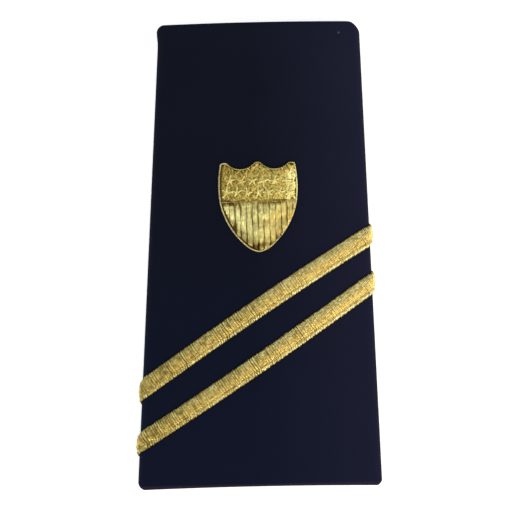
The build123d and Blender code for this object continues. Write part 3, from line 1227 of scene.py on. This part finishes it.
def ground_stitches(rng):
    """Short stitches that slant both ways, closely scattered, and the rise of each point."""
    drawings, rises = [], []
    along = np.linspace(-1, 1, GROUND_POINTS)
    for v in np.arange(SPLIT_LEVEL - 0.1 * MM, field.imag.max(), GROUND_PITCH):
        for u in np.arange(field.real.min(), field.real.max(), GROUND_PITCH):
            middle = complex(u, v) + complex(*rng.normal(0, GROUND_SCATTER, 2))
            slant = rng.choice([-GROUND_SLANT, GROUND_SLANT]) + rng.normal(0, 0.3)
            half = rng.uniform(*GROUND_HALF_LENGTHS) * np.exp(1j * (math.pi / 2 + slant))
            for shorter in SHORTENED:
                ends = (middle - half * shorter, middle + half * shorter)
                if min(end.imag for end in ends) < SPLIT_LEVEL - CHIEF_OVERLAP:
                    continue
                if all(within(edge, end) for edge in chief_edges for end in ends):
                    drawings.append(middle + half * shorter * along)
                    arch = GROUND_RISE + GROUND_ARCH * (1 - along**2)
                    rises.append(arch + rng.uniform(-0.03, 0.04) * MM)
                    break
    return np.array(drawings), np.array(rises)


rng = np.random.default_rng(21)
ground_drawing, ground_rises = ground_stitches(rng)
chief_finish = gold_thread(
    "chief ground", OLD_GOLD_AND_SHADE, GREEN_GOLD, shade_below=0.23, top=0.74, roughness=0.46, tarnish=0.95,
    painted_warmth=0.4, fade=9.0, rusted=0.3,
)
# Painted highlight: the ground's right end gets a paler, brighter finish, as light from the right
# falls there.
lit_end_finish = gold_thread(
    "chief ground lit end", BAR_GOLD, PALE_GOLD, shade_below=0.20, top=0.62, roughness=0.40, tarnish=0.3,
    painted_warmth=0.5,
)
ground_tones = rng.random(len(ground_drawing))
ground_middles = ground_drawing.mean(axis=1)
painted_lit_end = (ground_middles.real > LIT_END_FROM) & (ground_middles.imag < LIT_END_BELOW)


def lay_ground(name, chosen, finish):
    """The chosen ground stitches as one piece."""
    return shield_threads(
        name, ground_drawing[chosen], ground_rises[chosen], GROUND_HALF_WIDTH,
        GROUND_HALF_HEIGHT, ground_tones[chosen], finish,
    )


ground = lay_ground("shield_chief_ground", ~painted_lit_end, chief_finish)
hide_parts("shield_chief")
lay_ground("shield_chief_lit_end", painted_lit_end, lit_end_finish)

# %% Stars
STAR_REACH = 1.45 * MM
STAR_TIPS = 5
STAR_ROWS = (
    {"count": 6, "drop": 0.222, "pitch": 0.14},
    {"count": 7, "drop": 0.346, "pitch": 0.132},
)
STAR_POINTS = 11
STAR_SCATTER = 0.05 * MM
FOOT_SCATTER = 0.12 * MM
STAR_TURNS = 0.2
TIP_TURNS = 0.16
TIP_REACHES = (0.6, 1.1)
STAR_CROSSING = 0.35
STAR_RISES = (0.50 * MM, 0.64 * MM)
STAR_LIFT = 0.10 * MM
STITCH_LIFT = 0.02 * MM
STAR_HALF_WIDTH = 0.25 * MM
STAR_HALF_HEIGHT = 0.12 * MM


def star_stitches(rng):
    """Five stitches for each star, from somewhere past its middle out to each tip."""
    drawings, rises = [], []
    along = np.linspace(0, 1, STAR_POINTS)
    for row in STAR_ROWS:
        for place in range(row["count"]):
            u = (place - (row["count"] - 1) / 2) * row["pitch"] * SHIELD_WIDTH
            centre = complex(u, SHIELD_HEIGHT * (1 - row["drop"])) + rng.normal(0, STAR_SCATTER)
            turn = rng.normal(0, STAR_TURNS)
            angles = math.pi / 2 + turn + ring_angles(STAR_TIPS)
            angles = angles + rng.normal(0, TIP_TURNS, STAR_TIPS)
            tips = STAR_REACH * rng.uniform(*TIP_REACHES, STAR_TIPS) * np.exp(1j * angles)
            for k in range(STAR_TIPS):
                foot = centre - STAR_CROSSING * tips[k] + complex(*rng.normal(0, FOOT_SCATTER, 2))
                drawings.append(foot * (1 - along) + (centre + tips[k]) * along)
                lift = STAR_LIFT * np.sin(np.pi * np.minimum(along + 0.2, 1))
                rises.append(rng.uniform(*STAR_RISES) + lift + STITCH_LIFT * (k % 3))
    return np.array(drawings), np.array(rises)


star_drawing, star_rises = star_stitches(rng)
star_finish = gold_thread(
    "star stitches", OLIVE_GOLD, BAR_GOLD, shade_below=0.32, top=0.84, roughness=0.47, tarnish=0.4,
    painted_warmth=0.3, fade=5.0,
)
shield_threads(
    "shield_stars", star_drawing, star_rises, STAR_HALF_WIDTH, STAR_HALF_HEIGHT,
    0.4 + 0.6 * rng.random(len(star_drawing)), star_finish,
)

# %% A cord under the chief
DIVIDER_DROP = 0.5 * MM
DIVIDER_RISE = 0.42 * MM
DIVIDER_SWAY = 0.04 * MM
DIVIDER_DIP = 0.05 * MM
DIVIDER_POINTS = 90
DIVIDER_NEAR = 0.15 * MM

divider_level = SPLIT_LEVEL - DIVIDER_DROP
divider_reach = field.real[np.abs(field.imag - divider_level) < DIVIDER_NEAR].max()
divider_across = np.linspace(-divider_reach, divider_reach, DIVIDER_POINTS)[None, :]
divider_wave = np.sin(divider_across / (0.9 * MM)) + np.sin(divider_across / (0.37 * MM) + 1)
shield_threads(
    "shield_divider", divider_across + 1j * (divider_level + DIVIDER_SWAY * divider_wave),
    DIVIDER_RISE - DIVIDER_DIP * divider_wave, wide=0.11 * MM, high=0.10 * MM, tones=[0.8],
    finish=chief_finish,
)

# %% [markdown]
# ## The bars
# The lower field is a row of upright ribs, each a bundle of long threads over its own padding.
# The bundle is an arch of threads seen end on. Thirteen ribs would fill the shield, but they were
# sewn a little to the right, so the last one runs out under the border. Each rib lies low under the
# chief and then rises, and it swells, twists and wanders a little along its way, which breaks its
# highlight into the blotches that hand work shows. The finish is told that the threads lie lower or
# higher than they do, to paint light and shade on them: painted shade towards the lower border and
# in the valley under the chief, a painted highlight on the crest of each swell, and a band of
# painted highlight a little above the border.

# %% Ribs of long threads
BAR_COUNT = 13
BORDER_WIDTH = 0.55 * MM
BAR_PITCH = (SHIELD_WIDTH - 2 * BORDER_WIDTH) / BAR_COUNT
BAR_THREADS = 5
BAR_POINTS = 52
BAR_ARCH = math.radians(66)
BAR_HALF_WIDTH = 0.52 * MM
BAR_SHIFT = 0.58 * MM
BAR_THREAD_HALF_WIDTH = 0.175 * MM
BAR_THREAD_HALF_HEIGHT = 0.13 * MM
SHORTEST_BAR = 0.8 * MM
RIB_END = 0.30 * MM
LOW_RISE = 0.32 * MM
LOW_ARCH = 0.10 * MM
MORE_RISE = 0.12 * MM
MORE_ARCH = 0.22 * MM
SWELL_PAINTED_HIGHLIGHT = 3
EDGE_PAINTED_SHADE = 0.58
EDGE_REACH = 2.6 * MM
EDGE_BELOW = 7.8
TOE = 2.3 * MM
TOE_WIDTH = 1.3 * MM
VALLEY_PAINTED_SHADOW = 0.24
VALLEY_REACH = 1.5
PAINTED_HIGHLIGHT_BAND = 0.16
PAINTED_HIGHLIGHT_PLACE = 2.4
PAINTED_HIGHLIGHT_WIDTH = 1.1 * MM

# How a rib twists, swells and wanders along its way: how much, and over how long a stretch
TWISTS = ((0.22, 1.7 * MM), (0.18, 0.6 * MM))
SWELLS = ((0.036 * MM, 0.7 * MM), (0.016 * MM, 0.3 * MM))
WANDERS = ((0.06 * MM, 1.6 * MM),)


def rib_waves(v, rows, phases):
    """Sines along a rib, each with its size, its stretch and its phase."""
    return sum(size * np.sin(v / stretch + phase) for (size, stretch), phase in zip(rows, phases))


def rib_painted_shading(v, top, bottom, middle, rightness, deep):
    """How much lower than it lies a thread is told to be: painted shade, less a band of painted
    highlight.
    """
    low_from = (EDGE_BELOW - 1.8 * rightness) * MM
    low_down = ramp(bottom, low_from, low_from - 2.5 * MM)
    edge = ramp(v - bottom, EDGE_REACH, 0) ** 0.9 * low_down
    valley = ramp(top - v, (VALLEY_REACH + deep) * MM, 0)
    toe = hump(middle, TOE, TOE_WIDTH)
    painted_highlight = hump(v - bottom, (PAINTED_HIGHLIGHT_PLACE + 3 * rightness) * MM, PAINTED_HIGHLIGHT_WIDTH)
    painted_shading = (EDGE_PAINTED_SHADE - 0.22 * rightness - 0.30 * toe) * edge
    painted_shading = painted_shading + (VALLEY_PAINTED_SHADOW - 0.20 * rightness) * valley
    return (painted_shading - PAINTED_HIGHLIGHT_BAND * painted_highlight) * MM


def bar_stitches(rng):
    """The long threads of all the ribs: their drawing, rises, painted shading and tones."""
    drawings, rises, painted_shadings, tones = [], [], [], []
    along = np.linspace(0, 1, BAR_POINTS)
    for bar in range(BAR_COUNT):
        middle = (bar - (BAR_COUNT - 1) / 2) * BAR_PITCH + BAR_SHIFT
        phases = rng.random(4) * 2 * math.pi
        rightness = (middle + 8 * MM) / (16 * MM)
        deep = rng.uniform(0.0, 1.2)
        half = BAR_HALF_WIDTH * rng.uniform(0.93, 1.1)
        for thread in range(BAR_THREADS):
            lean = BAR_ARCH * (2 * thread / (BAR_THREADS - 1) - 1)
            top = SPLIT_LEVEL - 0.05 * MM + rng.normal(0, 0.05 * MM)
            bottom = lowest_at(field, middle + BAR_HALF_WIDTH * math.sin(lean))
            if top - bottom < SHORTEST_BAR:
                continue
            v = top + (bottom - top) * along
            turned = lean + rib_waves(v, TWISTS, phases)
            swell = rib_waves(v, SWELLS, phases[2:])
            sunk_until = (0.9 - 0.7 * rightness) * MM
            start = ramp(top - v, sunk_until, sunk_until + MM)
            tail = ramp(v - bottom, 0, RIB_END) ** 0.5
            sink = start**2 * (3 - 2 * start) * tail
            arch = np.cos(turned)
            across = middle + rib_waves(v, WANDERS, phases[1:]) + half * np.sin(turned)
            drawings.append(across + rng.normal(0, 0.012 * MM) + 1j * v)
            low = LOW_RISE + LOW_ARCH * arch + rng.normal(0, 0.01 * MM)
            rises.append(low + sink * (MORE_RISE + MORE_ARCH * arch + swell))
            # Painted shade near the border and under the chief, painted highlights on the swells
            # and in a band above the border.
            painted_shading = rib_painted_shading(v, top, bottom, middle, rightness, deep)
            painted_shadings.append(painted_shading - swell * SWELL_PAINTED_HIGHLIGHT)
            tones.append(rng.random())
    return np.array(drawings), np.array(rises), np.array(painted_shadings), np.array(tones)


bar_drawing, bar_rises, bar_painted_shading, bar_tones = bar_stitches(rng)
bar_finish = gold_thread(
    "bar threads", BAR_GOLD, PALE_GOLD, shade_below=0.34, top=0.96, roughness=0.33, tarnish=0.4,
    painted_warmth=1.0, rusted=0.15,
)
bars = shield_threads(
    "shield_bar_threads", bar_drawing, bar_rises, BAR_THREAD_HALF_WIDTH, BAR_THREAD_HALF_HEIGHT,
    bar_tones, bar_finish, told=bar_rises - bar_painted_shading,
)
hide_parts("shield_bars")

# %% [markdown]
# ## Sewing
# The two cloths are joined down the sides by hand with slip stitches. They show only from the
# side, as short slanting threads that cross the seam.

# %% Seam stitches
SEAM_STITCH_PITCH = 2.4 * MM
SEAM_STITCH_REACH = 0.42 * MM
SEAM_STITCH_SLANT = 0.35 * MM
SEAM_STITCH_ARCH = 0.10 * MM
SEAM_STITCH_SINK = 0.03 * MM

seam_places = np.arange(HEM_DEPTH / 2, LENGTH - HEM_DEPTH / 2, SEAM_STITCH_PITCH)
seam_along = np.linspace(-1, 1, 9)[None, :]
seam_shares = (seam_places[:, None] + SEAM_STITCH_SLANT * seam_along) / LENGTH
seam_rises = SEAM_STITCH_ARCH * np.cos(seam_along * np.pi / 2) - SEAM_STITCH_SINK
seam_paths, seam_ups = [], []
for side in (-2, 2):
    seam_across = across_at(side, seam_shares) + seam_along * SEAM_STITCH_REACH
    seam_paths.append(skin(seam_across, seam_shares, seam_rises))
    seam_ups.append(skin_up(seam_across, seam_shares, seam_rises))
seam_paths, seam_ups = np.concatenate(seam_paths), np.concatenate(seam_ups)
sewing_finish = navy_cloth("navy sewing thread", depth=0.2)
seam_points = thread_rings(seam_paths, seam_ups, wide=0.11 * MM, high=0.09 * MM, sides=6)
sewing = make_piece(
    "seam_stitches", seam_points, tube_faces(*seam_points.shape[:3]), sewing_finish,
    {"flat": seam_points},
)

# %% [markdown]
# ## Floor, light and camera
# The mark lies on a white sheet that glows a little, like a light table, so that it leaves
# hardly any shadow. Gold thread is a mirror broken into thousands of pieces, so it shows what
# stands round it: a weak cool window from the upper left gives the pale greenish upper edges,
# and a warm lamp from the lower right the orange ones. The room's walls are brighter on the
# lamp's side too. A flash by the camera would have hidden the ribs. The camera looks straight
# down from far off through a very long lens, so the sides of the sleeve don't spread.

# %% The floor
FLOOR_SIZE = 3.0
PAPER_GRAIN = 900.0

floor_mesh = bpy.data.meshes.new("floor")
floor_side = FLOOR_SIZE / 2
floor_corners = [(-1, -1), (1, -1), (1, 1), (-1, 1)]
floor_mesh.from_pydata(
    [(x * floor_side, y * floor_side, 0) for x, y in floor_corners], [], [(0, 1, 2, 3)]
)
floor = link_object("floor", floor_mesh)
floor_finish, floor_tree = start_finish("pale paper")
grain = floor_tree.node("ShaderNodeTexCoord", output=3).noise(PAPER_GRAIN)
end_finish(
    floor_tree,
    {
        "Roughness": 0.9,
        "Specular IOR Level": 0.2,
        "Emission Color": (1.0, 1.0, 1.0, 1),
        "Emission Strength": 0.55,
    },
    {"Base Color": grain.blend((0.86, 0.86, 0.86, 1), (0.90, 0.90, 0.90, 1))},
)
floor_mesh.materials.append(floor_finish)
print("floor:", FLOOR_SIZE, "m square")

# %% The lights
LIGHTS = (
    {"name": "cool_window", "place": (-0.40, 0.25, 0.60), "size": 0.35, "watts": 1.5,
     "colour": (0.90, 0.98, 1.0)},
    {"name": "warm_lamp", "place": (0.30, -0.36, 0.60), "size": 0.45, "watts": 2.8,
     "colour": (1.0, 0.94, 0.82)},
)

for row in LIGHTS:
    lamp = bpy.data.lights.new(row["name"], "AREA")
    lamp.shape = "SQUARE"
    lamp.size = row["size"]
    lamp.energy = row["watts"]
    lamp.color = row["colour"]
    lamp_object = link_object(row["name"], lamp)
    lamp_object.location = row["place"]
    to_mark = -Vector(row["place"])
    lamp_object.rotation_euler = to_mark.to_track_quat("-Z", "Y").to_euler()
    print(row["name"], "gives", row["watts"], "W")

world = bpy.data.worlds.new("studio")
bpy.context.scene.world = world
world.use_nodes = True
world.node_tree.nodes.clear()
sky = Wire(world.node_tree)
direction = sky.node("ShaderNodeSeparateXYZ", None, {0: sky.node("ShaderNodeTexCoord")})
overhead = direction.output("Z").clamp(0.30, 0.95)
towards = (direction.output("X") * 0.55 - direction.output("Y") * 0.70).clamp(-0.8, 0.8)
walls = towards.blend((0.62, 0.66, 0.70, 1), (1.35, 1.28, 1.15, 1))
ceiling = towards.blend((0.12, 0.13, 0.14, 1), (0.66, 0.63, 0.56, 1))
shade = overhead.blend(walls, ceiling)
background = sky.node("ShaderNodeBackground", None, {"Color": shade, "Strength": 1.0})
sky.node("ShaderNodeOutputWorld", None, {"Surface": background})
bpy.context.scene.view_settings.view_transform = "Standard"

# %% The camera
PICTURE_SPAN = 119.7 * MM
PICTURE_MIDDLE = (-0.8 * MM, -0.1 * MM)
SENSOR = 36.0
LENS = 800.0

camera_data = bpy.data.cameras.new("camera")
camera_data.sensor_width = SENSOR
camera_data.lens = LENS
camera = link_object("camera", camera_data)
camera.location = (*PICTURE_MIDDLE, FOLD_RADIUS + PICTURE_SPAN * LENS / SENSOR)
bpy.context.scene.camera = camera
print("camera height:", round(camera.location.z, 3), "m")
